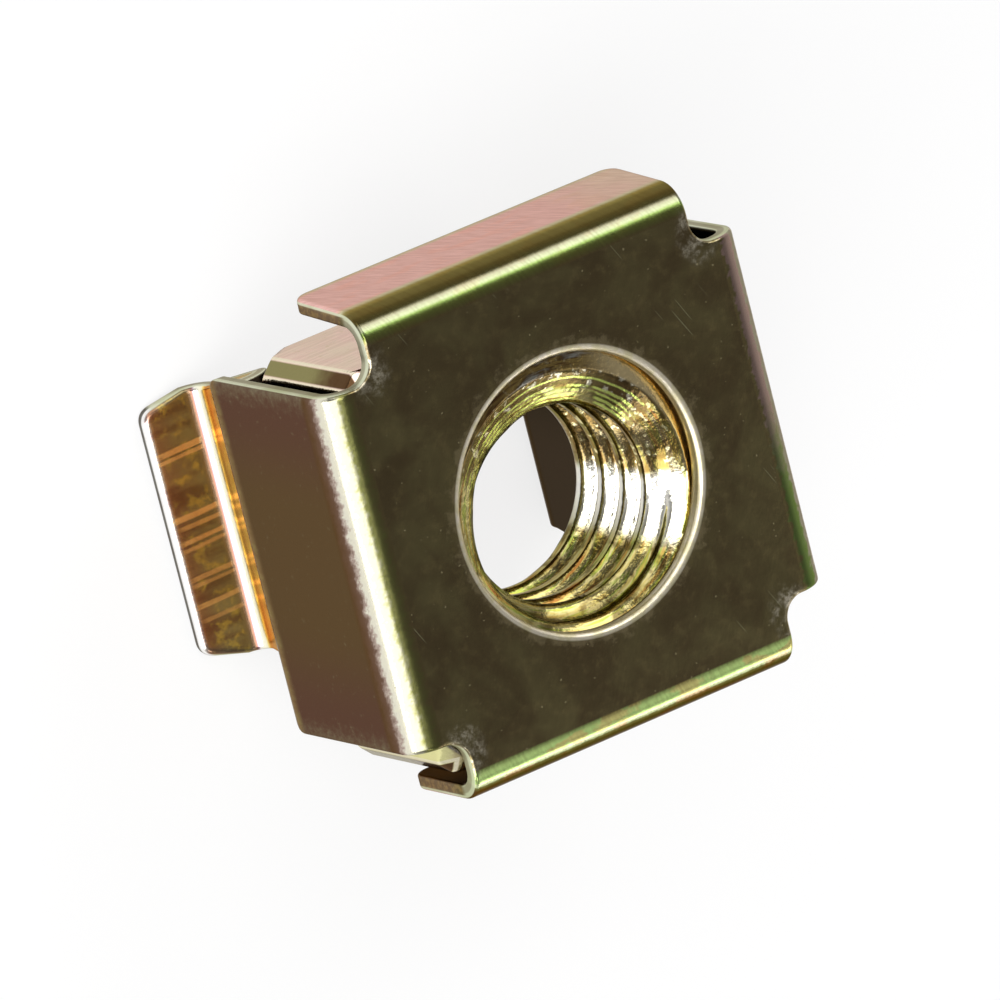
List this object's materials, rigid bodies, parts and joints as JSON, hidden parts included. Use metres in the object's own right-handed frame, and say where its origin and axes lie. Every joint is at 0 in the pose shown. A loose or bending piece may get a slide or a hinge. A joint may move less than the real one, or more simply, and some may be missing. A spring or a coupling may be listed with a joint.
{
  "type": "cage nut",
  "caption": "Square nut held loosely in a folded spring-steel cage with two snap-in legs, to give a square-holed rack rail a screw thread.",
  "frame": {"origin": "on the surface the part stands on, under the middle of the back plate's hole", "axes": "+Z out of the back plate, away from the rack rail; +X across the cage from one snap-in leg to the other; +Y toward the flange that leans outward"},
  "size_m": [0.013, 0.0133, 0.0103],
  "materials": {
    "cage_sheet": "spring steel sheet with yellow chromated zinc plating, olive to gold, lightly brushed",
    "nut_steel": "steel with yellow chromated zinc plating, gold with pink and green tints"
  },
  "bodies": {
    "root": {"cage": "cage_sheet", "square_nut": "nut_steel"}
  },
  "joints": []
}
